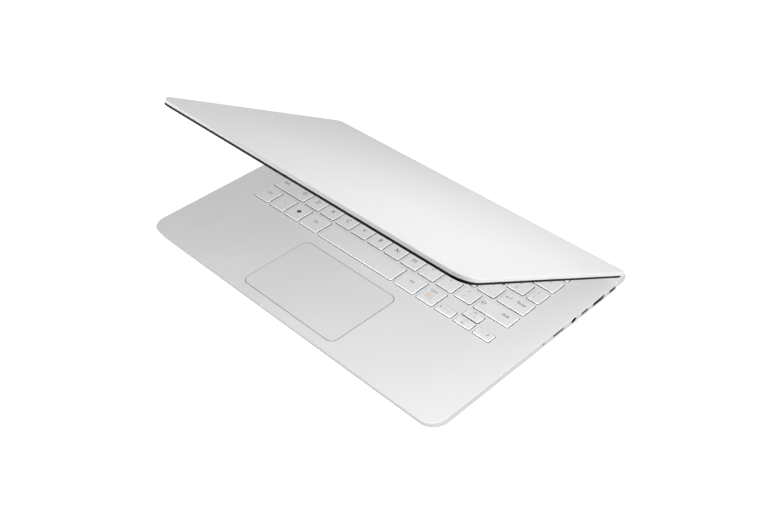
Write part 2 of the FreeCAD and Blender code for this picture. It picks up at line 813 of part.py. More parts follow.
def air_outlets():
    """Upright slots in the rear wall behind the fins."""
    return [
        box(
            f"air_outlet_{number}",
            (f"{FIN_LEFT} + {number} * 2 * fin_pitch", f"{REAR_WALL} - 2 * wall", f"{FLOOR} + seam_height"),
            ("fin_pitch", "3 * wall", f"{CEILING} - {FLOOR} - 2 * seam_height"),
        )
        for number in range(count_of("fin_count") // 2)
    ]


def top_case(openings):
    """Deck, side walls and bosses; returns the blocks that the bottom cover is made from."""
    outer = tapered_block("case", "0", BOTTOM, DECK, size("front_corner"))
    on_deck = at_height(top_of(outer))
    before_hinge = size("depth") / 4
    edge = chamfered(
        "case_edge", outer, lambda e: on_deck(e) and e.BoundBox.YMin < before_hinge, size("edge_chamfer"))
    below = box(
        "below_seam",
        ("-width", f"2 * {FRONT}", "-base_thick"),
        ("2 * width", "2 * depth", f"{SEAM} + base_thick"),
    )
    inside = tapered_block("inside", "wall", FLOOR, CEILING, size("front_corner") - size("wall"))
    shell = cut("case_shell", edge, below, inside)
    leaf_places = leaf_screw_places(LEFT) + leaf_screw_places(RIGHT)
    joined = fuse(
        "case_with_bosses",
        shell,
        *posts("cover_boss", cover_screw_places(), FLOOR, CEILING, "boss_radius"),
        *posts("plate_post", plate_post_places(), PLATE_TOP, CEILING, "post_radius"),
        *posts("leaf_post", leaf_places, LEAF_TOP, CEILING, "boss_radius"),
    )
    notch_start = ("-notch_width / 2", f"{FRONT} - notch_out", f"{DECK} + notch_up")
    notch = cylinder("finger_notch", notch_start, "notch_radius", "notch_width", ALONG_X)
    bore = "screw_radius + screw_slack"
    bore_top = f"({BOTTOM} + screw_length + head_seat + head_height)"
    hollows = group("case_openings", [
        *openings,
        *[leaf_slot(side, "case") for side in SIDES.values()],
        *air_outlets(),
        *posts("boss_bore", cover_screw_places(), BOTTOM, bore_top, bore),
        *posts("seat_bore", leaf_places, LEAF_TOP, CEILING, bore),
        touchpad_opening(),
        notch,
    ])
    piece("top_case", cut("top_case", joined, hollows))
    return edge, below, inside


def vents():
    """Slots in the floor under the fan."""
    return [
        box(
            f"vent_{number}",
            (
                f"{FAN_X} - vent_length / 2",
                f"{FAN_Y} + ({number} - (vent_count - 1) / 2) * vent_pitch - vent_width / 2",
                "0",
            ),
            ("vent_length", "vent_width", f"{FLOOR} + floor_thick"),
        )
        for number in range(count_of("vent_count"))
    ]


def grilles():
    """Short slots in the floor under each speaker."""
    first = f"{SPEAKER_FRONT} + ({SPEAKER_DEPTH} - (grille_count - 1) * vent_pitch) / 2"
    return [
        box(
            f"grille_{word}_{number}",
            (
                f"{side} * ({SPEAKER_INNER} + speaker_width / 2) - speaker_width / 4",
                f"{first} + {number} * vent_pitch",
                "0",
            ),
            ("speaker_width / 2", "vent_width", f"{FLOOR} + floor_thick"),
        )
        for word, side in SIDES.items()
        for number in range(count_of("grille_count"))
    ]


def bottom_cover(block, below, inside, openings):
    """Floor and low rim, with board bosses, vents, screw holes and the side walls' openings."""
    lower = doc.addObject("Part::Common", "cover_block")
    lower.Base = block
    lower.Tool = below
    tray = cut("cover_tray", lower, inside)
    bosses = posts("board_boss", board_boss_places(), BOTTOM, BOARD_UNDER, "boss_radius")
    joined = fuse("cover_with_bosses", tray, *bosses)
    places = cover_screw_places()
    above_floor = f"({FLOOR} + floor_thick)"
    seat_top = f"({BOTTOM} + head_seat + head_height - head_slack)"
    piece("bottom_cover", cut(
        "bottom_cover",
        joined,
        group("floor_slots", vents() + grilles()),
        group("rim_openings", openings),
        group("cover_holes", posts("cover_hole", places, "0", above_floor, "screw_radius + head_slack")),
        group("cover_seats", posts("cover_seat", places, "0", seat_top, "head_radius + head_slack")),
    ))


# Feet and screws
def rubber_feet():
    """Four strips that the case stands on."""
    strips = []
    for word, side in SIDES.items():
        for place_word, middle in (("front", f"{FRONT} + foot_front"), ("rear", f"{REAR} - foot_rear")):
            blank = box(
                f"{word}_{place_word}_foot_blank",
                (f"{side} * foot_side - foot_length / 2", f"{middle} - foot_width / 2", "0"),
                ("foot_length", "foot_width", "foot_height"),
            )
            ends = [(upright, size("foot_width") * END_ROUNDING)]
            strips.append(rounded(f"{word}_{place_word}_foot", blank, ends))
    piece("rubber_feet", group("rubber_feet", strips))


def screws(label, places, head_under, length):
    """Flat-headed screws that point up, side by side in one sub-part."""
    solids = []
    for number, (x, y) in enumerate(places):
        head = cylinder(f"{label}_head_{number}", (x, y, head_under), "head_radius", "head_height")
        shank_start = (x, y, f"{head_under} + head_height / 2")
        shank_length = f"{length} + head_height / 2"
        shank = cylinder(f"{label}_shank_{number}", shank_start, "screw_radius", shank_length)
        solids.append(fuse(f"{label}_{number}", head, shank))
    piece(label, group(label, solids))


# Keyboard plate
def keyboard_plate():
    """The sheet under the keys, hung on the deck's posts."""
    margin = "(key_clearance + 2 * post_radius)"
    front = f"({KEYBOARD_FRONT} - plate_margin)"
    rear = f"({FUNCTION_FRONT} + function_key_depth + plate_margin)"
    piece("keyboard_plate", box(
        "keyboard_plate",
        (f"{KEYBOARD_LEFT} - {margin}", front, PLATE_UNDER),
        (f"{KEYBOARD_WIDTH} + 2 * {margin}", f"{rear} - {front}", "plate_thick"),
    ))


# Touchpad, its bracket and its switch
def touchpad():
    """A plate that dips at its front edge, over a bracket that hangs under the deck."""
    blank = box("touchpad_blank", (PAD_LEFT, PAD_FRONT, PAD_UNDER), ("pad_width", PAD_HEIGHT, "pad_thick"))
    piece("touchpad", rounded("touchpad", blank, [(upright, size("pad_corner"))]))
    left = f"({PAD_LEFT} - bracket_lap)"
    right = f"({PAD_LEFT} + pad_width + bracket_lap)"
    plate = box(
        "bracket_plate",
        (left, PAD_FRONT, f"{BRACKET_TOP} - bracket_thick"),
        (f"{right} - {left}", PAD_HEIGHT, "bracket_thick"),
    )
    rails = [
        box(
            f"bracket_rail_{word}",
            (x, PAD_FRONT, BRACKET_CORE),
            ("rail_width", PAD_HEIGHT, f"{CEILING} - {BRACKET_CORE}"),
        )
        for word, x in (("left", left), ("right", f"{right} - rail_width"))
    ]
    pivot = box(
        "bracket_pivot",
        ("pad_shift - pivot_width / 2", f"{PAD_FRONT} + {PAD_HEIGHT} - pivot_depth", BRACKET_CORE),
        ("pivot_width", "pivot_depth", f"{PAD_UNDER} - pivot_slack - {BRACKET_CORE}"),
    )
    piece("touchpad_bracket", fuse("touchpad_bracket", plate, *rails, pivot))
    piece("touchpad_switch", box(
        "touchpad_switch",
        ("pad_shift - switch_size / 2", f"{PAD_FRONT} + switch_inset", BRACKET_TOP),
        ("switch_size", "switch_size", "switch_height"),
    ))


# Boards and what is soldered on them
def boards():
    """The mainboard on the left and the socket board on the right, with the parts under the mainboard."""
    piece("mainboard", box(
        "mainboard",
        (f"-{BOARD_EDGE}", BOARD_FRONT, BOARD_UNDER),
        (f"{BOARD_EDGE} + {BOARD_SPLIT}", "board_depth", "board_thick"),
    ))
    piece("side_board", box(
        "side_board",
        (f"{BOARD_EDGE} - side_board_width", SIDE_BOARD_FRONT, BOARD_UNDER),
        ("side_board_width", "side_board_depth", "board_thick"),
    ))
    hung = [
        ("processor", "chip_x", CHIP_FRONT, "chip_width", "chip_depth", "chip_thick"),
        ("memory_module", "memory_x", MEMORY_FRONT, "memory_width", "memory_depth", "memory_thick"),
        ("solid_state_drive", "drive_x", DRIVE_FRONT, "drive_length", "drive_width", "drive_thick"),
        ("wireless_card", "wireless_x", WIRELESS_FRONT, "wireless_width", "wireless_depth", "wireless_thick"),
    ]
    for label, x, front, width, depth, thick in hung:
        corner = (f"{x} - {width} / 2", front, f"{BOARD_UNDER} - {thick}")
        piece(label, box(label, corner, (width, depth, thick)))


# Cooling
def fan_housing():
    """A flat blower case, open below over the rotor and behind towards the fins, with an axle on its roof."""
    middle = (FAN_X, FAN_Y)
    low_corner = (f"{FAN_X} - fan_size / 2", f"{FAN_Y} - fan_size / 2", FAN_UNDER)
    shell = box("fan_shell", low_corner, ("fan_size", "fan_size", FAN_HEIGHT))
    room = f"({FAN_HEIGHT} - 2 * fan_wall)"
    floor = f"({FAN_UNDER} + fan_wall)"
    chamber = cylinder("fan_chamber", (*middle, floor), "rotor_radius + 3 * rotor_gap", room)
    mouth_start = (*middle, f"{FAN_UNDER} - fan_wall")
    mouth = cylinder("fan_mouth", mouth_start, "mouth_radius", "2 * fan_wall + seat_gap")
    exit_corner = (f"{FAN_X} - rotor_radius", FAN_Y, floor)
    way_out = box("fan_exit", exit_corner, ("2 * rotor_radius", "fan_size", room))
    axle_top = f"({FAN_UNDER} + {FAN_HEIGHT} - fan_wall / 2)"
    axle = cylinder("fan_axle", (*middle, ROTOR_UNDER), "axle_radius", f"{axle_top} - {ROTOR_UNDER}")
    piece("fan_housing", fuse("fan_housing", cut("fan_case", shell, chamber, mouth, way_out), axle))


def fan_rotor():
    """A hub that runs on the axle, with straight blades all round."""
    middle = (FAN_X, FAN_Y)
    hub = cylinder("rotor_hub", (*middle, ROTOR_UNDER), "hub_radius", ROTOR_HEIGHT)
    bore_start = (*middle, f"{ROTOR_UNDER} - rotor_gap")
    bore = cylinder("rotor_bore", bore_start, "axle_radius + pin_clearance", FAN_HEIGHT)
    blades = []
    for number in range(count_of("blade_count")):
        turn = Rotation(Vector(0, 0, 1), 360.0 * number / count_of("blade_count"))
        way = turn.multVec(Vector(1, 0, 0))
        root_x = f"{FAN_X} + {way.x:.6f} * hub_radius / 2"
        root_y = f"{FAN_Y} + {way.y:.6f} * hub_radius / 2"
        root = (root_x, root_y, ROTOR_UNDER)
        blade = box(f"blade_{number}", root, ("rotor_radius - hub_radius / 2", "blade_thick", ROTOR_HEIGHT))
        blades.append(place(blade, root, turn))
    piece("fan_rotor", cut("fan_rotor", fuse("rotor_wheel", hub, *blades), bore))


def heat_pipe_and_fins():
    """A flat pipe from under the processor to a fin stack behind the fan."""
    under = f"({BOARD_UNDER} - chip_thick - cooling_gap - pipe_thick)"
    left = "(chip_x - pipe_width / 2)"
    near = CHIP_FRONT
    far = f"({FIN_FRONT} + fin_depth)"
    back_run = box("pipe_back_run", (left, near, under), ("pipe_width", f"{far} - {near}", "pipe_thick"))
    cross_run = box(
        "pipe_cross_run",
        (left, f"{far} - pipe_width", under),
        (f"{FIN_LEFT} + {FIN_LENGTH} - {left}", "pipe_width", "pipe_thick"),
    )
    pipe = fuse("pipe_block", back_run, cross_run)
    pipe.recompute(True)
    bend_x = size("chip_x") + size("pipe_width")
    at_bend = behind(pipe.Shape.BoundBox.Center.y)
    piece("heat_pipe", rounded(
        "heat_pipe", pipe, [(lambda e: at_bend(e) and e.BoundBox.XMax < bend_x, size("pipe_corner"))]))
    fins_under = f"({under} + pipe_thick + cooling_gap)"
    fin_height = f"{FAN_UNDER} + {FAN_HEIGHT} - {fins_under}"
    root = box("fin_root", (FIN_LEFT, FIN_FRONT, fins_under), (FIN_LENGTH, "fin_depth", "fin_thick"))
    fins = [
        box(
            f"fin_{number}",
            (f"{FIN_LEFT} + {number} * fin_pitch", FIN_FRONT, fins_under),
            ("fin_thick", "fin_depth", fin_height),
        )
        for number in range(count_of("fin_count"))
    ]
    piece("heat_sink_fins", fuse("heat_sink_fins", root, *fins))


# Battery and speakers
def battery_pack():
    """A tray of flat cells behind the front edge."""
    tray = box(
        "battery_frame",
        (f"-{BATTERY_WIDTH} / 2", BATTERY_FRONT, INSIDE_SEAT),
        (BATTERY_WIDTH, BATTERY_DEPTH, "battery_tray"),
    )
    cell_width = f"(({BATTERY_WIDTH} - (cell_count + 1) * cell_gap) / cell_count)"
    cells = []
    for number in range(count_of("cell_count")):
        left = f"cell_gap - {BATTERY_WIDTH} / 2 + {number} * ({cell_width} + cell_gap)"
        blank = box(
            f"cell_{number}_blank",
            (left, f"{BATTERY_FRONT} + cell_gap", f"{INSIDE_SEAT} + battery_tray / 2"),
            (cell_width, f"{BATTERY_DEPTH} - 2 * cell_gap", f"{BATTERY_THICK} - battery_tray / 2"),
        )
        cells.append(rounded(f"cell_{number}", blank, [(upright, size("cell_gap"))]))
    piece("battery_pack", fuse("battery_pack", tray, *cells))


def speakers():
    """A flat speaker at each side, with its cone set in from below."""
    for word, side in SIDES.items():
        low, length = span(side, SPEAKER_INNER, f"{SPEAKER_INNER} + speaker_width")
        corner = (low, SPEAKER_FRONT, INSIDE_SEAT)
        body = box(f"{word}_speaker_box", corner, (length, SPEAKER_DEPTH, "speaker_thick"))
        recess = box(
            f"{word}_speaker_recess",
            (f"{low} + cone_inset", f"{SPEAKER_FRONT} + cone_inset", f"{INSIDE_SEAT} - cone_depth"),
            ("speaker_width - 2 * cone_inset", f"{SPEAKER_DEPTH} - 2 * cone_inset", "2 * cone_depth"),
        )
        piece(f"{word}_speaker", cut(f"{word}_speaker", body, recess))


# Hinge pieces on the base
def hinge_cap(word, side):
    """A hollow barrel end that stands on the base behind the case."""
    low, length = span(side, KNUCKLE, "width / 2")
    barrel = cylinder(f"{word}_cap_barrel", (low, AXIS_Y, AXIS_Z), "barrel_radius", length, ALONG_X)
    foot = box(
        f"{word}_cap_foot",
        (low, REAR_WALL, f"{AXIS_Z} - barrel_radius"),
        (length, f"{AXIS_Y} - {REAR_WALL}", "barrel_radius - hinge_rise"),
    )
    hollow_low, hollow_length = span(side, BARREL_END, "width / 2 - cap_end")
    inner = "barrel_radius - barrel_wall"
    hollow = cylinder(f"{word}_cap_hollow", (hollow_low, AXIS_Y, AXIS_Z), inner, hollow_length, ALONG_X)
    solid = fuse(f"{word}_cap_solid", barrel, foot)
    piece(f"{word}_hinge_cap", cut(f"{word}_hinge_cap", solid, hollow, leaf_slot(side, f"{word}_cap")))


def hinge_bracket(word, side):
    """A steel leaf under the deck with a ring that the pin turns in."""
    low, length = span(side, f"{KNUCKLE} + leaf_start", f"{KNUCKLE} + leaf_start + leaf_width")
    ring = cylinder(f"{word}_bracket_ring", (low, AXIS_Y, AXIS_Z), "bracket_ring", length, ALONG_X)
    leaf = box(
        f"{word}_bracket_leaf",
        (low, f"{AXIS_Y} - leaf_length", f"{LEAF_TOP} - leaf_thick"),
        (length, "leaf_length", "leaf_thick"),
    )
    bore_start = (f"{low} - leaf_slack", AXIS_Y, AXIS_Z)
    bore_length = f"{length} + 2 * leaf_slack"
    bore = cylinder(f"{word}_bracket_bore", bore_start, "pin_radius + pin_clearance", bore_length, ALONG_X)
    screw_holes = group(f"{word}_leaf_holes", posts(
        f"{word}_leaf_hole",
        leaf_screw_places(side),
        f"({LEAF_TOP} - 2 * leaf_thick)",
        f"({LEAF_TOP} + leaf_thick)",
        "screw_radius + screw_slack",
    ))
    solid = fuse(f"{word}_bracket_solid", ring, leaf)
    piece(f"{word}_hinge_bracket", cut(f"{word}_hinge_bracket", solid, bore, screw_holes))


# Lid, drawn closed about the hinge line
def lid_plate(label, inset, rear, low, thick, corner, back_corner=None):
    """A level plate with the lid's round front corners, drawn in by an inset."""
    blank = box(
        f"{label}_blank",
        (f"{inset} - width / 2", f"{LID_FRONT} + {inset}", low),
        (f"width - 2 * {inset}", f"{rear} - {LID_FRONT} - {inset}", thick),
    )
    blank.recompute()
    middle = blank.Shape.BoundBox.Center.y
    choices = [(in_front_of(middle), corner)]
    if back_corner:
        choices.append((behind(middle), back_corner))
    return rounded(f"{label}_round", blank, choices)


def lid_cover():
    """The outer skin: a shallow tray with a soft outer edge, relieved over the end caps."""
    front_corner = size("front_corner")
    rear_corner = size("rear_corner")
    wall = size("lid_wall")
    plate = lid_plate(
        "lid_cover", "0", "lid_overhang", BEZEL_TOP, f"{LID_TOP} - {BEZEL_TOP}", front_corner, rear_corner)
    soft = rounded("lid_cover_soft", plate, [(at_height(top_of(plate)), size("lid_edge"))])
    pocket_low = f"({BEZEL_TOP} - lid_wall)"
    pocket_depth = f"{POCKET_TOP} - {pocket_low}"
    pocket = lid_plate(
        "lid_pocket", "lid_wall", "lid_overhang - lid_wall", pocket_low, pocket_depth,
        front_corner - wall, rear_corner - wall)
    reliefs = []
    for word, side in SIDES.items():
        low, length = span(side, BARREL_END, "width / 2 + lid_wall")
        reliefs.append(cylinder(
            f"{word}_cap_relief", (low, "0", "0"), "barrel_radius + lid_relief", length, ALONG_X))
    lid_piece("lid_cover", cut("lid_cover_shell", soft, pocket, group("cap_reliefs", reliefs)))


def display_bezel():
    """The black frame round the screen, with a hole for the camera's lens."""
    corner = size("front_corner") - size("bezel_inset")
    plate = lid_plate("bezel", "bezel_inset", BEZEL_REAR, UNDERSIDE, "bezel_thick", corner)
    below = f"{UNDERSIDE} - bezel_thick"
    window_blank = box(
        "window_blank",
        (f"-{WINDOW_WIDTH} / 2", WINDOW_FRONT, below),
        (WINDOW_WIDTH, WINDOW_HEIGHT, "3 * bezel_thick"),
    )
    window = rounded("window", window_blank, [(upright, size("window_corner"))])
    lens_hole = cylinder("lens_hole", ("0", CAMERA_Y, below), "lens_hole", "3 * bezel_thick")
    lid_piece("display_bezel", cut("bezel_frame", plate, window, lens_hole))


def bezel_gasket():
    """A thin rubber line on the bezel that meets the deck when the lid is shut."""
    outer_corner = size("front_corner") - size("gasket_inset")
    rear = f"({BEZEL_REAR} - gasket_rear)"
    rim = lid_plate(
        "gasket", "gasket_inset", rear, f"{UNDERSIDE} - gasket_thick", "gasket_thick", outer_corner)
    rim_hole = lid_plate(
        "gasket_hole", "(gasket_inset + gasket_width)", f"({rear} - gasket_width)",
        f"{UNDERSIDE} - 2 * gasket_thick", "3 * gasket_thick", outer_corner - size("gasket_width"))
    lid_piece("bezel_gasket", cut("gasket_rim", rim, rim_hole))


def display_panel():
    """The screen's panel and the backlight behind it."""
    corner = (f"-{WINDOW_WIDTH} / 2 - panel_lap", f"{WINDOW_FRONT} - panel_lap")
    spread = (f"{WINDOW_WIDTH} + 2 * panel_lap", f"{WINDOW_HEIGHT} + 2 * panel_lap")
    lid_piece("display_panel", box("panel_sheet", (*corner, BEZEL_TOP), (*spread, "panel_thick")))
    panel_top = f"({BEZEL_TOP} + panel_thick)"
    backlight_thick = f"{POCKET_TOP} - backlight_gap - {panel_top}"
    lid_piece("backlight_unit", box("backlight_sheet", (*corner, panel_top), (*spread, backlight_thick)))


def camera_and_antennas():
    """What lies behind the bezel's far edge."""
    body = box(
        "camera_body",
        ("-camera_width / 2", f"{CAMERA_Y} - camera_height / 2", BEZEL_TOP),
        ("camera_width", "camera_height", f"{POCKET_TOP} - camera_gap - {BEZEL_TOP}"),
    )
    lens_start = ("0", CAMERA_Y, f"{UNDERSIDE} + lens_recess")
    lens = cylinder("camera_lens", lens_start, "lens_radius", "bezel_thick")
    lid_piece("camera_module", fuse("camera_shape", body, lens))
    strips = [
        box(
            f"{word}_antenna",
            (f"{side} * antenna_place - antenna_length / 2", f"{CAMERA_Y} - antenna_width / 2", BEZEL_TOP),
            ("antenna_length", "antenna_width", "antenna_thick"),
        )
        for word, side in SIDES.items()
    ]
    lid_piece("antennas", *strips)


def hinge_cover():
    """The hollow centre barrel, cut away where the lid lies in it."""
    start = (f"-{BARREL_END}", "0", "0")
    barrel = cylinder("barrel_round", start, "barrel_radius", f"2 * {BARREL_END}", ALONG_X)
    inner = "barrel_radius - barrel_wall"
    hollow = cylinder("barrel_hollow", (f"-{KNUCKLE}", "0", "0"), inner, f"2 * {KNUCKLE}", ALONG_X)
    lid_room = box(
        "barrel_room",
        ("-width", "-2 * barrel_radius", f"{BEZEL_TOP} - seat_gap / 2"),
        ("2 * width", "2 * barrel_radius + lid_overhang + seat_gap / 2", "2 * barrel_radius"),
    )
    lid_piece("hinge_cover", cut("barrel_open", barrel, hollow, lid_room))


def hinge_pin_and_arm(word, side):
    """A steel pin and the arm that holds it in the lid."""
    pin_start = f"{BARREL_END} - pin_grip"
    pin_low, pin_length = span(side, pin_start, f"{KNUCKLE} + pin_reach")
    lid_piece(
        f"{word}_hinge_pin",
        cylinder(f"{word}_pin_bar", (pin_low, "0", "0"), "pin_radius", pin_length, ALONG_X))
    arm_start = f"{pin_start} + knuckle_gap"
    low, length = span(side, arm_start, f"{arm_start} + arm_width")
    ring = cylinder(f"{word}_arm_ring", (low, "0", "0"), "arm_ring", length, ALONG_X)
    plate_low = f"{BEZEL_TOP} + arm_lift"
    riser = box(
        f"{word}_arm_riser",
        (low, "arm_thick - arm_ring", "0"),
        (length, "arm_thick", f"{plate_low} + arm_thick"),
    )
    leaf = box(
        f"{word}_arm_leaf",
        (low, "2 * arm_thick - arm_ring - arm_length", plate_low),
        (length, "arm_length", "arm_thick"),
    )
    bore_start = (f"{low} - knuckle_gap", "0", "0")
    bore_length = f"{length} + 2 * knuckle_gap"
    bore = cylinder(f"{word}_arm_bore", bore_start, "pin_radius + pin_seat", bore_length, ALONG_X)
    solid = fuse(f"{word}_arm_solid", ring, riser, leaf)
    lid_piece(f"{word}_hinge_arm", cut(f"{word}_arm_shape", solid, bore))


# The whole computer
deck_openings = keyboard()
wall_openings = sockets()
case_block, below_seam, case_inside = top_case(deck_openings + wall_openings)
bottom_cover(case_block, below_seam, case_inside, wall_openings)
rubber_feet()
screws("cover_screws", cover_screw_places(), f"{BOTTOM} + head_seat - head_slack", "screw_length")
screws(
    "hinge_screws",
    leaf_screw_places(LEFT) + leaf_screw_places(RIGHT),
    f"{LEAF_TOP} - leaf_thick - head_height",
    "leaf_screw_length",
)
keyboard_plate()
touchpad()
boards()
fan_housing()
fan_rotor()
heat_pipe_and_fins()
battery_pack()
speakers()
lid_cover()
display_bezel()
bezel_gasket()
display_panel()
camera_and_antennas()
hinge_cover()
for hinge_word, hinge_side in SIDES.items():
    hinge_cap(hinge_word, hinge_side)
    hinge_bracket(hinge_word, hinge_side)
    hinge_pin_and_arm(hinge_word, hinge_side)

# Nothing is written unless every object is sound
doc.recompute()
for item in doc.Objects:
    if "Invalid" in item.State or "Error" in item.State:
        raise RuntimeError(f"{item.Label} failed: {item.State}")
for item in pieces:
    if item.Shape.isNull() or not item.Shape.isValid():
        raise RuntimeError(f"{item.Label} has no sound shape")

os.makedirs("parts", exist_ok=True)
for item in pieces:
    item.Shape.exportStep(f"parts/{item.Label}.step")
print(f"{len(pieces)} sub-parts")
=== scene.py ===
import json
import math

import bpy
from mathutils import Matrix, Vector


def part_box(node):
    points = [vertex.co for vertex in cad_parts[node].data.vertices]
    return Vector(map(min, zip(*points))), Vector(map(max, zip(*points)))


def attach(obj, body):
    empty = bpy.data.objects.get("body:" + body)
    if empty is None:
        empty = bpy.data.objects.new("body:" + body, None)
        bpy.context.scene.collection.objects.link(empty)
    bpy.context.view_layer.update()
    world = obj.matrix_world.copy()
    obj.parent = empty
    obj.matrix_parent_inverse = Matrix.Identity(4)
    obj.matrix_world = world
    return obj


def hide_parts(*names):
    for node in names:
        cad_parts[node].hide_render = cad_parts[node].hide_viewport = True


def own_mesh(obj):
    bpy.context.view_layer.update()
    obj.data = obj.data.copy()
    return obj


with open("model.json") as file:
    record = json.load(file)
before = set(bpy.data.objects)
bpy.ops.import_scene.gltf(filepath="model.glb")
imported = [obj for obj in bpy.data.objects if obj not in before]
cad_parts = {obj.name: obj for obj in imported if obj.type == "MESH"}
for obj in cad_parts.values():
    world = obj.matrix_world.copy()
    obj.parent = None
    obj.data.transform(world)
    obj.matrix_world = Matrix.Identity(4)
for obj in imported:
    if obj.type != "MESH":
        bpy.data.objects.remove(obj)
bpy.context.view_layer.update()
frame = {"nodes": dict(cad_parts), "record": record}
nodes = frame["nodes"]
MM = 0.001

# Camera at the photograph's viewing angle, with its focal length in pixels of a 768 pixel wide image
IMAGE_WIDTH = 768
SENSOR = 36.0
NEAR_CLIP = 0.01
CAMERA = {
    "azimuth": 46.71, "elevation": 38.72, "roll": -1.95, "distance": 0.82424, "focal": 1037.88,
    "target": (0.00733, -0.00015, 0.0096),
}


def add_camera():
    az, el, roll = (math.radians(CAMERA[k]) for k in ("azimuth", "elevation", "roll"))
    back = Vector((math.sin(az) * math.cos(el), -math.cos(az) * math.cos(el), math.sin(el)))
    level = Vector((math.cos(az), math.sin(az), 0))
    rise = back.cross(level)
    right = level * math.cos(roll) + rise * math.sin(roll)
    up = rise * math.cos(roll) - level * math.sin(roll)
    eye = Vector(CAMERA["target"]) + back * CAMERA["distance"]
    data = bpy.data.cameras.new("camera")
    data.sensor_fit = "HORIZONTAL"
    data.sensor_width = SENSOR
    data.lens = CAMERA["focal"] * SENSOR / IMAGE_WIDTH
    data.clip_start = NEAR_CLIP
    camera = bpy.data.objects.new("camera", data)
    bpy.context.scene.collection.objects.link(camera)
    camera.matrix_world = Matrix((
        (right.x, up.x, back.x, eye.x),
        (right.y, up.y, back.y, eye.y),
        (right.z, up.z, back.z, eye.z),
        (0, 0, 0, 1),
    ))
    bpy.context.scene.camera = camera


# Shader nodes
def node(tree, kind, **inputs):
    """A shader node with some of its inputs set."""
    item = tree.nodes.new(kind)
    for name, value in inputs.items():
        item.inputs[name.replace("_", " ")].default_value = value
    return item


def math_node(tree, kind, operation, *inputs):
    """The result of a math node whose inputs are sockets or values."""
    item = tree.nodes.new(kind)
    item.operation = operation
    for socket, value in zip(item.inputs, inputs):
        if isinstance(value, bpy.types.NodeSocket):
            tree.links.new(value, socket)
        else:
            socket.default_value = value
    return item.outputs[0]


def map_range(tree, value, **inputs):
    """The result of a map range node."""
    item = node(tree, "ShaderNodeMapRange", **inputs)
    tree.links.new(value, item.inputs["Value"])
    return item.outputs["Result"]


def split(tree, vector):
    """The X, Y and Z of a vector."""
    item = node(tree, "ShaderNodeSeparateXYZ")
    tree.links.new(vector, item.inputs["Vector"])
    return item.outputs


# Materials
PRINCIPLED = "Principled BSDF"
RAMP_ENDS = (0.35, 0.65)
GRAIN_DEPTH = 0.1 * MM
PLAIN_SPECULAR, SATIN_SPECULAR, DARK_SPECULAR = 0.5, 0.25, 0.12


def surface(name, low, high, scale, rough, rough_spread, metallic=0.0, bump=0.0, grain_scale=0.0,
            stretch=(1, 1, 1), specular=PLAIN_SPECULAR):
    """A procedural finish: colour that drifts between two tones, uneven gloss and a fine grain."""
    material = bpy.data.materials.new(name)
    material.use_nodes = True
    tree = material.node_tree
    shader = tree.nodes[PRINCIPLED]
    shader.inputs["Metallic"].default_value = metallic
    shader.inputs["Specular IOR Level"].default_value = specular
    coords = node(tree, "ShaderNodeTexCoord")
    mapping = node(tree, "ShaderNodeMapping", Scale=stretch)
    tree.links.new(coords.outputs["Object"], mapping.inputs["Vector"])
    drift = node(tree, "ShaderNodeTexNoise", Scale=scale, Detail=4.0, Roughness=0.6)
    tree.links.new(mapping.outputs["Vector"], drift.inputs["Vector"])
    ramp = node(tree, "ShaderNodeValToRGB")
    for element, position, colour in zip(ramp.color_ramp.elements, RAMP_ENDS, (low, high)):
        element.position = position
        element.color = (*colour, 1)
    tree.links.new(drift.outputs["Fac"], ramp.inputs["Fac"])
    tree.links.new(ramp.outputs["Color"], shader.inputs["Base Color"])
    gloss = map_range(tree, drift.outputs["Fac"], To_Min=rough - rough_spread, To_Max=rough + rough_spread)
    tree.links.new(gloss, shader.inputs["Roughness"])
    if bump:
        grain = node(tree, "ShaderNodeTexNoise", Scale=grain_scale, Detail=2.0, Roughness=0.5)
        tree.links.new(mapping.outputs["Vector"], grain.inputs["Vector"])
        relief = node(tree, "ShaderNodeBump", Strength=bump, Distance=GRAIN_DEPTH)
        tree.links.new(grain.outputs["Fac"], relief.inputs["Height"])
        tree.links.new(relief.outputs["Normal"], shader.inputs["Normal"])
    return material


def tint(material, colour, keep):
    """Turns a finish to another colour where a socket gives 0, and keeps it where that gives 1."""
    tree = material.node_tree
    base = tree.nodes[PRINCIPLED].inputs["Base Color"]
    blend = tree.nodes.new("ShaderNodeMixRGB")
    blend.inputs["Color1"].default_value = (*colour, 1)
    tree.links.new(keep, blend.inputs["Fac"])
    tree.links.new(base.links[0].from_socket, blend.inputs["Color2"])
    tree.links.new(blend.outputs["Color"], base)


def paint_shade_below(material, level, band, colour):
    """Paints shade on a finish: turns it to another colour below a height in metres."""
    tree = material.node_tree
    height = split(tree, node(tree, "ShaderNodeTexCoord").outputs["Object"])["Z"]
    tint(material, colour, map_range(tree, height, From_Min=level, From_Max=level + band))


# The largest share of X in the normal of a face with painted shade, and where the painted shade starts to fade,
# as a share of the box
SIDEWAYS_LIMIT = 0.5
FADE_START = 0.995


def paint_shade_in_hollow(material, low, high, colour):
    """Paints shade inside a box in metres: turns a finish to another colour there, but for the faces that look
    along X.
    """
    tree = material.node_tree
    place = node(tree, "ShaderNodeTexCoord").outputs["Object"]
    offset = math_node(tree, "ShaderNodeVectorMath", "SUBTRACT", place, (low + high) / 2)
    share = math_node(tree, "ShaderNodeVectorMath", "DIVIDE", offset, (high - low) / 2)
    normal = split(tree, node(tree, "ShaderNodeNewGeometry").outputs["Normal"])
    sideways = math_node(tree, "ShaderNodeMath", "ABSOLUTE", normal["X"])
    furthest = math_node(tree, "ShaderNodeMath", "DIVIDE", sideways, SIDEWAYS_LIMIT)
    for part in split(tree, math_node(tree, "ShaderNodeVectorMath", "ABSOLUTE", share)):
        furthest = math_node(tree, "ShaderNodeMath", "MAXIMUM", furthest, part)
    tint(material, colour, map_range(tree, furthest, From_Min=FADE_START, From_Max=1.0))


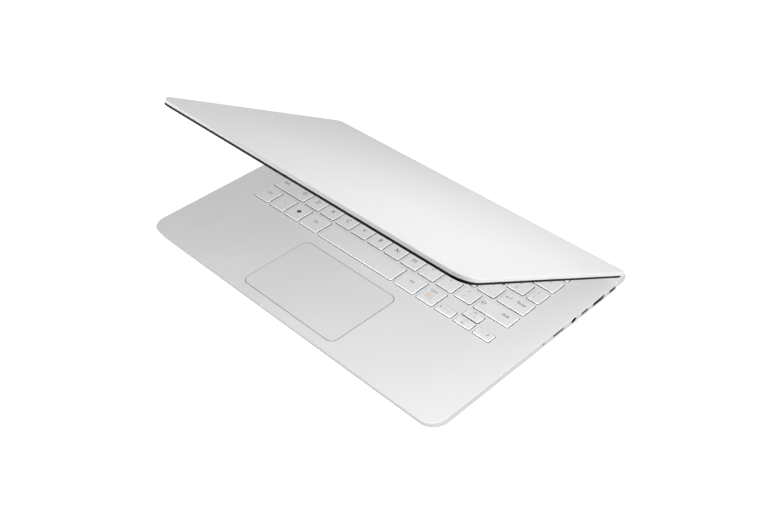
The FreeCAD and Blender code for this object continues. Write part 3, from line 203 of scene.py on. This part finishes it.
def dress(material, *names):
    """Gives a finish to CAD nodes."""
    for name in names:
        mesh = nodes[name].data
        mesh.materials.clear()
        mesh.materials.append(material)


# Finishes: two tones, scale of the drift, roughness and its spread, then what differs from a plain finish
SILVER = surface(
    "satin_silver", (0.77, 0.775, 0.78), (0.80, 0.805, 0.81), 9.0, 0.55, 0.04,
    bump=0.10, grain_scale=4200.0, specular=SATIN_SPECULAR)
LID_SILVER = surface(
    "lid_silver", (0.79, 0.795, 0.80), (0.81, 0.815, 0.82), 7.0, 0.5, 0.04,
    bump=0.08, grain_scale=4600.0, specular=SATIN_SPECULAR)
KEY_SILVER = surface(
    "key_silver", (0.77, 0.775, 0.78), (0.80, 0.803, 0.807), 30.0, 0.55, 0.05,
    bump=0.08, grain_scale=5200.0, specular=SATIN_SPECULAR)
PAD_SILVER = surface(
    "pad_silver", (0.75, 0.755, 0.76), (0.77, 0.775, 0.78), 14.0, 0.6, 0.04,
    bump=0.05, grain_scale=3800.0, specular=SATIN_SPECULAR)
BLACK = surface(
    "black_moulded", (0.003, 0.003, 0.0035), (0.007, 0.007, 0.008), 60.0, 0.55, 0.08,
    bump=0.2, grain_scale=2600.0, specular=DARK_SPECULAR)
RUBBER = surface(
    "soft_rubber", (0.018, 0.018, 0.019), (0.04, 0.04, 0.042), 90.0, 0.8, 0.06,
    bump=0.4, grain_scale=1800.0, specular=DARK_SPECULAR)
STEEL = surface(
    "pressed_steel", (0.42, 0.43, 0.44), (0.62, 0.63, 0.64), 40.0, 0.34, 0.08,
    metallic=1.0, bump=0.1, grain_scale=900.0, stretch=(1, 12, 1))
COPPER = surface(
    "copper_pipe", (0.55, 0.24, 0.12), (0.78, 0.4, 0.24), 50.0, 0.32, 0.1,
    metallic=1.0, bump=0.1, grain_scale=700.0)
BOARD = surface(
    "coated_board", (0.008, 0.05, 0.022), (0.02, 0.11, 0.05), 240.0, 0.4, 0.1,
    bump=0.3, grain_scale=1500.0)
SCREEN = surface(
    "screen_panel", (0.005, 0.005, 0.006), (0.006, 0.006, 0.0075), 20.0, 0.24, 0.006,
    bump=0.02, grain_scale=3000.0, specular=DARK_SPECULAR)
LIGHT = surface("light_pipe", (0.16, 0.17, 0.18), (0.26, 0.27, 0.28), 500.0, 0.25, 0.05)
DIFFUSER = surface("white_sheet", (0.72, 0.72, 0.7), (0.8, 0.8, 0.79), 30.0, 0.6, 0.05)
GREY_INK = surface("grey_print", (0.045, 0.045, 0.05), (0.07, 0.07, 0.075), 400.0, 0.6, 0.05)
ORANGE_INK = surface("orange_print", (0.74, 0.53, 0.35), (0.80, 0.58, 0.40), 400.0, 0.6, 0.05)

# Painted shade: the case's hollow with the holes in its side walls, and the sides of the keys and of the
# touchpad, are painted dark where shade falls in the holes and gaps
HOLLOW = (Vector((-162.0, -60.0, 2.2)) * MM, Vector((162.0, 96.5, 8.6)) * MM)
HOLLOW_SHADE, KEY_SIDE_SHADE, PAD_SIDE_SHADE = (0.02, 0.02, 0.022), (0.08, 0.08, 0.085), (0.05, 0.05, 0.055)
KEY_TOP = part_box("number_keys")[1].z
PAD_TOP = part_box("touchpad")[1].z
# Depths below the tops of the keys and of the touchpad where the painted shade starts, and the heights over
# which it fades in
KEY_EDGE, KEY_FADE = 0.8 * MM, 0.1 * MM
PAD_EDGE, PAD_FADE = 0.06 * MM, 0.03 * MM
# Painted shade inside the case and in the holes of its side walls
paint_shade_in_hollow(SILVER, *HOLLOW, HOLLOW_SHADE)
# Painted shade on the sides of the keys, in the gaps round them
paint_shade_below(KEY_SILVER, KEY_TOP - KEY_EDGE, KEY_FADE, KEY_SIDE_SHADE)
# Painted shade on the sides of the touchpad, in the gap round it
paint_shade_below(PAD_SILVER, PAD_TOP - PAD_EDGE, PAD_FADE, PAD_SIDE_SHADE)

KEY_NODES = (
    "function_keys", "power_key", "number_keys", "upper_letter_keys", "home_letter_keys", "lower_letter_keys",
    "bottom_row_keys", "arrow_keys", "space_bar", "enter_key", "left_shift_key", "right_shift_key",
)
dress(SILVER, "top_case", "bottom_cover", "left_hinge_cap", "right_hinge_cap")
dress(LID_SILVER, "lid_cover", "hinge_cover")
dress(KEY_SILVER, *KEY_NODES)
dress(PAD_SILVER, "touchpad")
dress(
    BLACK, "display_bezel", "fan_housing", "fan_rotor", "left_speaker", "right_speaker", "power_inlet",
    "headphone_socket", "camera_module", "battery_pack", "card_slot")
dress(RUBBER, "rubber_feet", "bezel_gasket", "key_domes")
dress(
    STEEL, "keyboard_plate", "cover_screws", "hinge_screws", "touchpad_bracket", "touchpad_switch",
    "left_hinge_bracket", "right_hinge_bracket", "left_hinge_arm", "right_hinge_arm", "heat_sink_fins",
    "left_hinge_pin", "right_hinge_pin", "right_data_socket", "left_data_socket", "video_socket",
    "round_data_socket", "small_data_socket")
dress(COPPER, "heat_pipe")
dress(
    BOARD, "mainboard", "side_board", "processor", "memory_module", "solid_state_drive", "wireless_card",
    "antennas")
dress(SCREEN, "display_panel")
dress(LIGHT, "status_light")
dress(DIFFUSER, "backlight_unit")

# Key layout in millimetres: ends of the rows, gaps between keys and between half keys, and widths of the keys
LEFT, RIGHT = (corner.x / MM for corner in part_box("number_keys"))
GAP, HALF_GAP = 2.95, 1.25
KEY, CONTROL, ALT, SPACE, ARROW = 16.0, 16.6, 20.7, 83.9, 15.65
GRAVE, TAB, CAPS, SHIFT = 12.5, 22.0, 27.25, 38.0
FUNCTION_COUNT = 16
FUNCTION = (RIGHT - LEFT - (FUNCTION_COUNT - 1) * GAP) / FUNCTION_COUNT

# Print in millimetres: height over the keys, heights of the lettering, and the font's share of capitals
INK_LIFT = 0.012
LETTER, WORD, SMALL = 4.0, 2.7, 2.2
CAPITAL = 0.7
GREY, ORANGE = 0, 1


class Print:
    """Flat printed marks of one key node, gathered into one mesh."""

    def __init__(self):
        self.points = []
        self.faces = []
        self.inks = []

    def add(self, points, faces, x, y, ink):
        start = len(self.points)
        height = KEY_TOP + INK_LIFT * MM
        self.points += [((px + x) * MM, (py + y) * MM, height) for px, py in points]
        self.faces += [tuple(start + k for k in face) for face in faces]
        self.inks += [ink] * len(faces)


prints = {}
glyph_cache = {}


def text_shape(text, height):
    """Points and faces of a line of plain lettering, centred, in millimetres."""
    key = (text, height)
    if key not in glyph_cache:
        curve = bpy.data.curves.new("glyphs", "FONT")
        curve.body = text
        curve.size = height / CAPITAL
        curve.align_x = "CENTER"
        curve.align_y = "CENTER"
        curve.resolution_u = 2
        holder = bpy.data.objects.new("glyphs", curve)
        mesh = bpy.data.meshes.new_from_object(holder)
        points = [(v.co.x, v.co.y) for v in mesh.vertices]
        faces = [tuple(p.vertices) for p in mesh.polygons]
        bpy.data.objects.remove(holder)
        bpy.data.meshes.remove(mesh)
        bpy.data.curves.remove(curve)
        glyph_cache[key] = (points, faces)
    return glyph_cache[key]


def stroke(path, width):
    """A line of even width along points."""
    points, faces = [], []
    for (ax, ay), (bx, by) in zip(path, path[1:]):
        length = math.hypot(bx - ax, by - ay)
        ux, uy = (bx - ax) / length, (by - ay) / length
        nx, ny = -uy * width / 2, ux * width / 2
        ax, ay, bx, by = ax - ux * width / 2, ay - uy * width / 2, bx + ux * width / 2, by + uy * width / 2
        start = len(points)
        points += [(ax - nx, ay - ny), (bx - nx, by - ny), (bx + nx, by + ny), (ax + nx, ay + ny)]
        faces.append((start, start + 1, start + 2, start + 3))
    return points, faces


def arc(radius, start, end, steps):
    """Points round a circle between two angles in degrees."""
    angles = [math.radians(start + (end - start) * k / steps) for k in range(steps + 1)]
    return [(radius * math.cos(a), radius * math.sin(a)) for a in angles]


def ring(radius, steps):
    """Points evenly round a whole circle."""
    return arc(radius, 0, 360 - 360 / steps, steps - 1)


# Marks in millimetres before they are enlarged, mostly of thin strokes
THIN, MENU_FRAME, MENU_LINE = 0.32, 0.4, 0.5
MARK_SCALE = 1.25
SHIFT_ARROW = [
    (-0.7, -1.3), (-0.7, 0.1), (-1.5, 0.1), (0, 1.5), (1.5, 0.1), (0.7, 0.1), (0.7, -1.3), (-0.7, -1.3),
]
MARKS = {
    "up_shift": stroke(SHIFT_ARROW, THIN),
    "return": stroke([(1.9, 1.0), (1.9, -0.5), (-1.7, -0.5), (-0.7, 0.3), (-1.7, -0.5), (-0.7, -1.3)], THIN),
    "back": stroke([(2.2, 0), (-2.0, 0), (-1.0, 0.8), (-2.0, 0), (-1.0, -0.8)], THIN),
    "left": stroke([(0.5, 1.0), (-0.6, 0), (0.5, -1.0)], THIN),
    "right": stroke([(-0.5, 1.0), (0.6, 0), (-0.5, -1.0)], THIN),
    "up": stroke([(-1.0, -0.5), (0, 0.6), (1.0, -0.5)], THIN),
    "down": stroke([(-1.0, 0.5), (0, -0.6), (1.0, 0.5)], THIN),
    "menu": stroke([(-2.1, -1.8), (2.1, -1.8), (2.1, 1.8), (-2.1, 1.8), (-2.1, -1.8)], MENU_FRAME),
    "menu_line": stroke([(-1.2, 0), (1.2, 0)], MENU_LINE),
    "diamond": ([(-1.9, 0), (0, -1.9), (1.9, 0), (0, 1.9)], [(0, 1, 2, 3)]),
    "power_ring": stroke(arc(1.25, 125, 415, 16), THIN),
    "power_bar": stroke([(0, 0.5), (0, 1.6)], THIN),
}


def mark(body, name, x, y, ink=GREY):
    points, faces = MARKS[name]
    larger = [(MARK_SCALE * px, MARK_SCALE * py) for px, py in points]
    prints.setdefault(body, Print()).add(larger, faces, x, y, ink)


def word(body, text, x, y, ink=GREY, height=WORD):
    prints.setdefault(body, Print()).add(*text_shape(text, height), x, y, ink)


def small_word(body, text, x, y, ink=GREY):
    word(body, text, x, y, ink, SMALL)


def row(body, widths):
    """Left side, middle and width of each key in a body's row; a width of None fills the row."""
    front, rear = (corner.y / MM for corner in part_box(body))
    places = []
    left = LEFT
    for width in widths:
        width = RIGHT - left if width is None else width
        places.append((left, left + width / 2, (front + rear) / 2, width))
        left += width + GAP
    return places


# Rows of letter keys: body, widths, first and last key with a letter or a pair of signs, and these
LETTER_ROWS = (
    ("lower_letter_keys", [SHIFT] + [KEY] * 10 + [None], 1, -1, [*"ZXCVBNM", "<,", ">.", "?/"]),
    ("home_letter_keys", [CAPS] + [KEY] * 11 + [None], 1, -1, [*"ASDFGHJKL", ":;", "\"'"]),
    ("upper_letter_keys", [TAB] + [KEY] * 12 + [None], 1, None, [*"QWERTYUIOP", "{[", "}]", "|\\"]),
    ("number_keys", [GRAVE] + [KEY] * 12 + [None], 0, -1,
     ["~`", "!1", "@2", "#3", "$4", "%5", "^6", "&7", "*8", "(9", ")0", "_-", "+="]),
)
# Shifts to the right and to the rear of a letter, and of the signs of a pair, from the middle of the key
LETTER_SHIFT, REAR_SHIFT, FRONT_SHIFT = (-0.3, 0.7), (-1.6, 3.2), (-1.6, -2.8)

# Legends of wide keys, by row: body, kind, what, key in the row, share of the key's width from its left side
# to start from, and shifts from there to the right and to the rear
WIDE_LEGENDS = {
    "lower_letter_keys": (
        ("left_shift_key", word, "Shift", 0, 0.0, 7.4, 1.6),
        ("left_shift_key", mark, "up_shift", 0, 1.0, -7.4, 1.8),
        ("right_shift_key", mark, "up_shift", -1, 0.0, 3.4, 1.3),
        ("right_shift_key", word, "Shift", -1, 1.0, -9.0, 1.3),
    ),
    "home_letter_keys": (
        ("home_letter_keys", word, "Caps Lock", 0, 0.0, 9.0, 1.3),
        ("enter_key", mark, "return", -1, 0.5, -7.8, 1.4),
        ("enter_key", word, "Enter", -1, 0.5, 4.4, 1.6),
    ),
    "upper_letter_keys": (("upper_letter_keys", word, "Tab", 0, 0.0, 6.0, 1.3),),
    "number_keys": (("number_keys", mark, "back", -1, 0.5, 0.0, 1.3),),
}

FUNCTION_NAMES = ["Esc"] + [f"F{k}" for k in range(1, 13)] + ["PrtSc", "Del"]
FUNCTION_RISE = 0.6

# Front row, and its legends: kind, what, key in the row, shifts to the right and to the rear, ink
FRONT_WIDTHS = [CONTROL, KEY, KEY, ALT, SPACE, ALT, CONTROL, ARROW, ARROW, ARROW]
BOTTOM_LEGENDS = (
    (word, "Ctrl", 0, -0.6, 1.6, GREY),
    (word, "Fn", 1, 0.0, 1.0, ORANGE),
    (mark, "diamond", 2, 0.0, 0.8, GREY),
    (word, "Alt", 3, 0.0, 1.0, GREY),
    (word, "Alt", 5, 0.0, 1.0, GREY),
    (word, "Ctrl", 6, -1.6, 4.6, GREY),
    (mark, "menu", 6, -1.1, -1.5, ORANGE),
    (mark, "menu_line", 6, -1.1, -2.1, ORANGE),
    (mark, "menu_line", 6, -1.1, -0.9, ORANGE),
)
# The same for the arrow keys, with the half of the column that they stand in
NEAR, FAR = 0, 1
ARROW_LEGENDS = (
    (mark, "left", 7, NEAR, -5.2, 0.7, GREY),
    (small_word, "Home", 7, NEAR, 0.9, 0.5, ORANGE),
    (mark, "up", 8, FAR, -0.6, 2.7, GREY),
    (small_word, "PgUp", 8, FAR, -0.4, -0.5, ORANGE),
    (mark, "down", 8, NEAR, -0.6, -2.0, GREY),
    (small_word, "PgDn", 8, NEAR, -0.2, 1.4, ORANGE),
    (small_word, "End", 9, NEAR, -2.4, 1.2, ORANGE),
    (mark, "right", 9, NEAR, 3.0, 0.7, GREY),
)


def letter_keys(body, places, letters):
    for (_, x, y, _), letter in zip(places, letters):
        if len(letter) == 1:
            word(body, letter, x + LETTER_SHIFT[0], y + LETTER_SHIFT[1], height=LETTER)
        else:
            for sign, (across, along) in zip(letter, (REAR_SHIFT, FRONT_SHIFT)):
                word(body, sign, x + across, y + along)


def key_legends():
    for body, widths, first, last, letters in LETTER_ROWS:
        places = row(body, widths)
        letter_keys(body, places[first:last], letters)
        for key_body, draw, what, key, share, across, along in WIDE_LEGENDS[body]:
            left, _, y, width = places[key]
            draw(key_body, what, left + share * width + across, y + along)
    places = row("function_keys", [FUNCTION] * FUNCTION_COUNT)
    for (_, x, y, _), name in zip(places, FUNCTION_NAMES):
        small_word("function_keys", name, x, y + FUNCTION_RISE)
    _, x, y, _ = places[-1]
    mark("power_key", "power_ring", x, y)
    mark("power_key", "power_bar", x, y)
    places = row("bottom_row_keys", FRONT_WIDTHS)
    for draw, what, key, across, along, ink in BOTTOM_LEGENDS:
        _, x, y, _ = places[key]
        draw("bottom_row_keys", what, x + across, y + along, ink)
    front, rear = (corner.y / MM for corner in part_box("arrow_keys"))
    half = (rear - front - HALF_GAP) / 2
    halves = {NEAR: front + half / 2, FAR: rear - half / 2}
    for draw, what, key, side, across, along, ink in ARROW_LEGENDS:
        draw("arrow_keys", what, places[key][1] + across, halves[side] + along, ink)


def add_mesh(name, points, faces, *materials):
    """A new piece of the scene."""
    mesh = bpy.data.meshes.new(name)
    mesh.from_pydata(points, [], faces)
    for material in materials:
        mesh.materials.append(material)
    piece = bpy.data.objects.new(name, mesh)
    bpy.context.scene.collection.objects.link(piece)
    return piece


def add_legends():
    key_legends()
    made = []
    for body, sheet in prints.items():
        piece = add_mesh(f"{body}_legends", sheet.points, sheet.faces, GREY_INK, ORANGE_INK)
        for polygon, ink in zip(piece.data.polygons, sheet.inks):
            polygon.material_index = ink
        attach(piece, body)
        made.append(piece)
    return made


# Rubber domes under the keys: radius in millimetres and share of the height
DOME_PROFILE = (
    (2.5, 0.0), (2.4, 0.06), (2.2, 0.14), (2.0, 0.3), (1.8, 0.5), (1.55, 0.7), (1.3, 0.84), (1.2, 0.92),
    (1.2, 1.0), (0.8, 1.0), (0.7, 0.94),
)
DOME_STEPS = 16
# How far below the top the rim of a dome is looked for, and how far its points may lie from one another
DOME_RIM, DOME_SPREAD = 0.1 * MM, 4.0 * MM


def dome_middles():
    """Middles of the domes, from the rims of their tops in the CAD node."""
    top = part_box("key_domes")[1].z
    rims = []
    for vertex in nodes["key_domes"].data.vertices:
        if vertex.co.z < top - DOME_RIM:
            continue
        for rim in rims:
            if (rim[0] - vertex.co).length < DOME_SPREAD:
                rim.append(vertex.co)
                break
        else:
            rims.append([vertex.co])
    middles = []
    for rim in rims:
        across, along = [p.x for p in rim], [p.y for p in rim]
        middles.append(((min(across) + max(across)) / 2, (min(along) + max(along)) / 2))
    return middles


def key_over(boxes, x, y):
    """The key body over a place; a single key comes before the row that it stands in."""
    for body, (low, high) in boxes:
        if low.x < x < high.x and low.y < y < high.y:
            return body


def bands(count, steps, start=0):
    """Faces between rings of points that follow one another."""
    faces = []
    for k in range(count):
        lower = start + k * steps
        for j in range(steps):
            after = (j + 1) % steps
            faces.append((lower + j, lower + after, lower + steps + after, lower + steps + j))
    return faces


def add_domes():
    low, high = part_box("key_domes")
    circle = ring(1.0, DOME_STEPS)
    boxes = [(body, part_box(body)) for body in KEY_NODES]
    boxes.sort(key=lambda entry: (entry[1][1] - entry[1][0]).length)
    sheets = {}
    for x, y in dome_middles():
        points, faces = sheets.setdefault(key_over(boxes, x, y), ([], []))
        start = len(points)
        for radius, share in DOME_PROFILE:
            height = low.z + share * (high.z - low.z)
            points += [(x + radius * MM * px, y + radius * MM * py, height) for px, py in circle]
        faces += bands(len(DOME_PROFILE) - 1, DOME_STEPS, start)
        faces.append(tuple(reversed(range(start, start + DOME_STEPS))))
        faces.append(tuple(range(len(points) - DOME_STEPS, len(points))))
    made = []
    for body, (points, faces) in sheets.items():
        piece = add_mesh(f"{body}_domes", points, faces, RUBBER)
        for polygon in piece.data.polygons:
            polygon.use_smooth = len(polygon.vertices) == 4
        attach(piece, "base")
        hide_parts("key_domes")
        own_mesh(piece)
        made.append(piece)
    return made


# Studio: a dim sky over bright ground, a white floor and backdrop, and lamps for the lid, the base and the keys
SKY_TOP = (0.0, 0.3, 0.954)
SKY_FROM, SKY_LOW, SKY_HIGH = -0.6, 0.08, 0.3
GROUND_GLOW, HORIZON = 0.93, 0.1
ROOM, ROOM_STEPS, ROOM_RINGS = 12.0, 48, 10
FLOOR_GLOW, BACKDROP_GLOW = 1.0, 1.1
LID_AIM, DECK_AIM = (0.05, 0.0, 0.06), (0.03, 0.02, 0.01)
# Name, place, aim, size and power of each lamp, and what it lights
LAMPS = (
    ("lid_light", (0.14, 0.13, 0.36), LID_AIM, 0.2, 0.58, "lid"),
    ("lid_top_light", (0.1, 0.4, 1.6), LID_AIM, 1.0, 7.6, "lid"),
    ("lid_front_light", (-0.42, -0.42, 0.2), LID_AIM, 0.3, 1.5, "lid"),
    ("lid_side_light", (0.9, 0.1, 0.12), LID_AIM, 0.3, 2.6, "lid"),
    ("deck_light", (0.5, -0.38, 0.67), DECK_AIM, 0.3, 5.8, "base"),
    ("deck_top_light", (0.03, 0.1, 0.4), DECK_AIM, 0.2, 0.45, "base"),
    ("key_light", (0.62, -0.62, 0.06), DECK_AIM, 0.1, 6.0, "keys"),
)


def add_stage(name, points, faces, glow):
    """A pale glowing surface of the studio, which is seen but lights nothing."""
    material = surface(name, (0.90, 0.90, 0.90), (0.93, 0.93, 0.93), 2.0, 0.9, 0.03, specular=0.0)
    shader = material.node_tree.nodes[PRINCIPLED]
    shader.inputs["Emission Color"].default_value = (1, 1, 1, 1)
    shader.inputs["Emission Strength"].default_value = glow
    piece = add_mesh(name, points, faces, material)
    piece.visible_diffuse = False
    piece.visible_glossy = False
    piece.visible_transmission = False
    piece.visible_shadow = False


def add_room():
    """A round floor under a dome."""
    points = []
    for k in range(ROOM_RINGS + 1):
        level = math.radians(90 * k / ROOM_RINGS)
        points += [(x, y, ROOM * math.sin(level)) for x, y in ring(ROOM * math.cos(level), ROOM_STEPS)]
    add_stage("floor", points[:ROOM_STEPS], [tuple(range(ROOM_STEPS))], FLOOR_GLOW)
    add_stage("backdrop", points, bands(ROOM_RINGS, ROOM_STEPS), BACKDROP_GLOW)


def add_light(name, place, aim, spread, power):
    data = bpy.data.lights.new(name, "AREA")
    data.shape = "DISK"
    data.size = spread
    data.energy = power
    lamp = bpy.data.objects.new(name, data)
    bpy.context.scene.collection.objects.link(lamp)
    lamp.location = place
    lamp.rotation_euler = (Vector(aim) - Vector(place)).to_track_quat("-Z", "Y").to_euler()
    return lamp


def light_only(lamp, pieces):
    """Keeps a lamp's light and its shadows to some pieces."""
    group = bpy.data.collections.new(f"{lamp.name}_pieces")
    for piece in pieces:
        group.objects.link(piece)
    lamp.light_linking.receiver_collection = group
    lamp.light_linking.blocker_collection = group


def add_sky():
    world = bpy.data.worlds.new("studio")
    bpy.context.scene.world = world
    world.use_nodes = True
    tree = world.node_tree
    background = tree.nodes["Background"]
    background.inputs["Color"].default_value = (1, 1, 1, 1)
    direction = node(tree, "ShaderNodeTexCoord").outputs["Generated"]
    facing = tree.nodes.new("ShaderNodeVectorMath")
    facing.operation = "DOT_PRODUCT"
    facing.inputs[1].default_value = SKY_TOP
    tree.links.new(direction, facing.inputs[0])
    sky = map_range(
        tree, facing.outputs["Value"], From_Min=SKY_FROM, From_Max=1.0, To_Min=SKY_LOW, To_Max=SKY_HIGH)
    strength = node(
        tree, "ShaderNodeMapRange", From_Min=-HORIZON, From_Max=HORIZON, To_Min=GROUND_GLOW)
    tree.links.new(split(tree, direction)["Z"], strength.inputs["Value"])
    tree.links.new(sky, strength.inputs["To Max"])
    tree.links.new(strength.outputs["Result"], background.inputs["Strength"])


def add_studio(legends, domes):
    add_sky()
    lid = [nodes[name] for name in frame["record"]["behaviour"]["bodies"]["lid"]]
    groups = {
        "lid": lid,
        "base": [piece for piece in nodes.values() if piece not in lid] + legends + domes,
        "keys": [nodes[name] for name in KEY_NODES] + legends,
    }
    for name, place, aim, spread, power, group in LAMPS:
        light_only(add_light(name, place, aim, spread, power), groups[group])
    bpy.context.scene.view_settings.view_transform = "Standard"


add_camera()
legends = add_legends()
domes = add_domes()
add_room()
add_studio(legends, domes)
